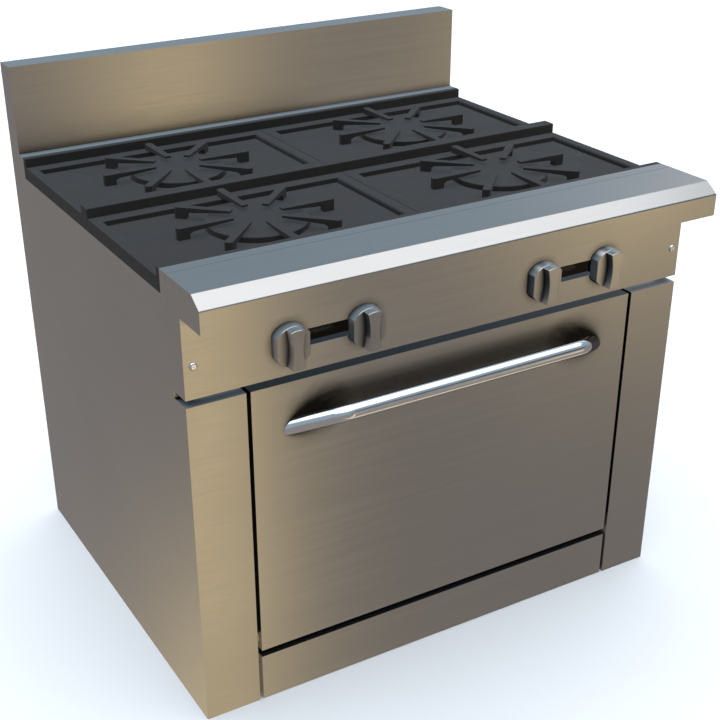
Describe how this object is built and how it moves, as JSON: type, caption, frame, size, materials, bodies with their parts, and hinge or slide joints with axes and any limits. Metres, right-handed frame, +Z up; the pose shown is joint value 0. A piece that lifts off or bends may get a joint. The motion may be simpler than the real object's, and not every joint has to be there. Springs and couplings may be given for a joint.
{
  "type": "commercial gas range",
  "caption": "Commercial gas range: stainless cabinet with open cast-iron burners, lift-off grates, control knobs, a low backguard and a drop-down oven door.",
  "frame": {"origin": "centre of the range's overall box in plan, on the floor plane", "axes": "+X to the right as the cook sees it, +Y from the front to the wall, +Z up"},
  "size_m": [0.9144, 0.832, 0.9144],
  "materials": {
    "stainless": "brushed, satin",
    "polished_steel": "polished",
    "knob_steel": "brushed faces, polished sides",
    "cast_iron": "as cast, seasoned",
    "galvanised_steel": "galvanised, dull",
    "oven_enamel": "speckled vitreous enamel",
    "rack_chrome": "bright wire, heat tinted",
    "pipe_steel": "black iron pipe",
    "regulator_paint": "grey die casting",
    "brass": "machined",
    "insulation": "mineral wool batt",
    "gasket_braid": "woven glass braid",
    "dial_black": "matt",
    "button_red": "gloss"
  },
  "bodies": {
    "range_body": {"side_panel_left": "stainless", "side_panel_right": "stainless", "stile_left": "stainless", "stile_right": "stainless", "valve_panel": "stainless", "slot_pockets": "stainless", "front_rail": "stainless", "hob_front_channel": "stainless", "rear_ledge": "stainless", "backguard": "stainless", "panel_screws": "polished_steel", "hob_frame": "cast_iron", "burner_caps": "cast_iron", "burner_front_left": "cast_iron", "burner_front_right": "cast_iron", "burner_rear_left": "cast_iron", "burner_rear_right": "cast_iron", "oven_burner": "cast_iron", "back_panel": "galvanised_steel", "base_pan": "galvanised_steel", "crumb_tray": "galvanised_steel", "burner_supports": "galvanised_steel", "lower_shield": "galvanised_steel", "flue_duct": "galvanised_steel", "hinge_pins": "galvanised_steel", "oven_liner": "oven_enamel", "oven_deck": "oven_enamel", "oven_front_frame": "oven_enamel", "rack_guides": "rack_chrome", "gas_manifold": "pipe_steel", "oven_gas_pipes": "pipe_steel", "gas_inlet_pipe": "pipe_steel", "pressure_regulator": "regulator_paint", "safety_valve": "regulator_paint", "oven_thermostat": "regulator_paint", "burner_valves": "brass", "oven_insulation": "insulation", "oven_gasket": "gasket_braid"},
    "door": {"door_skin": "stainless", "door_liner": "oven_enamel", "door_insulation": "insulation", "door_hinge_bushes": "brass", "door_handle": "polished_steel", "handle_bolts": "polished_steel"},
    "burner_knob_1": {"knob_1": "knob_steel", "valve_stem_1": "brass"},
    "burner_knob_2": {"knob_2": "knob_steel", "valve_stem_2": "brass"},
    "burner_knob_3": {"knob_3": "knob_steel", "valve_stem_3": "brass"},
    "burner_knob_4": {"knob_4": "knob_steel", "valve_stem_4": "brass"},
    "grate_front_left_body": {"grate_front_left": "cast_iron"},
    "grate_front_right_body": {"grate_front_right": "cast_iron"},
    "grate_rear_left_body": {"grate_rear_left": "cast_iron"},
    "grate_rear_right_body": {"grate_rear_right": "cast_iron"},
    "kick_panel_body": {"kick_panel": "stainless"},
    "rack": {"oven_rack": "rack_chrome"},
    "dial": {"thermostat_dial": "dial_black"},
    "button": {"reset_button": "button_red"}
  },
  "joints": [
    {"name": "door_hinge", "type": "hinge", "parent": "range_body", "child": "door", "pos_m": [0, -0.328, 0.117], "axis": [1, 0, 0], "range_deg": [0, 90]},
    {"name": "knob_1_turn", "type": "hinge", "parent": "range_body", "child": "burner_knob_1", "pos_m": [-0.292, -0.366, 0.635], "axis": [0, -1, 0], "range_deg": [0, 90]},
    {"name": "knob_2_turn", "type": "hinge", "parent": "range_body", "child": "burner_knob_2", "pos_m": [-0.1645, -0.366, 0.635], "axis": [0, -1, 0], "range_deg": [0, 90]},
    {"name": "knob_3_turn", "type": "hinge", "parent": "range_body", "child": "burner_knob_3", "pos_m": [0.1645, -0.366, 0.635], "axis": [0, -1, 0], "range_deg": [0, 90]},
    {"name": "knob_4_turn", "type": "hinge", "parent": "range_body", "child": "burner_knob_4", "pos_m": [0.292, -0.366, 0.635], "axis": [0, -1, 0], "range_deg": [0, 90]},
    {"name": "grate_front_left_lift", "type": "slide", "parent": "range_body", "child": "grate_front_left_body", "axis": [0, 0, 1], "range_m": [0, 0.08]},
    {"name": "grate_front_right_lift", "type": "slide", "parent": "range_body", "child": "grate_front_right_body", "axis": [0, 0, 1], "range_m": [0, 0.08]},
    {"name": "grate_rear_left_lift", "type": "slide", "parent": "range_body", "child": "grate_rear_left_body", "axis": [0, 0, 1], "range_m": [0, 0.08]},
    {"name": "grate_rear_right_lift", "type": "slide", "parent": "range_body", "child": "grate_rear_right_body", "axis": [0, 0, 1], "range_m": [0, 0.08]},
    {"name": "kick_panel_pull", "type": "slide", "parent": "range_body", "child": "kick_panel_body", "axis": [0, -1, 0], "range_m": [0, 0.08]},
    {"name": "rack_slide", "type": "slide", "parent": "range_body", "child": "rack", "axis": [0, -1, 0], "range_m": [0, 0.015]},
    {"name": "thermostat_turn", "type": "hinge", "parent": "range_body", "child": "dial", "pos_m": [0.25, -0.317, 0.05], "axis": [0, 1, 0], "range_deg": [0, 270]},
    {"name": "reset_press", "type": "slide", "parent": "range_body", "child": "button", "axis": [0, 1, 0], "range_m": [0, 0.006], "stiffness_N_per_m": 400, "springref_m": -0.003}
  ]
}
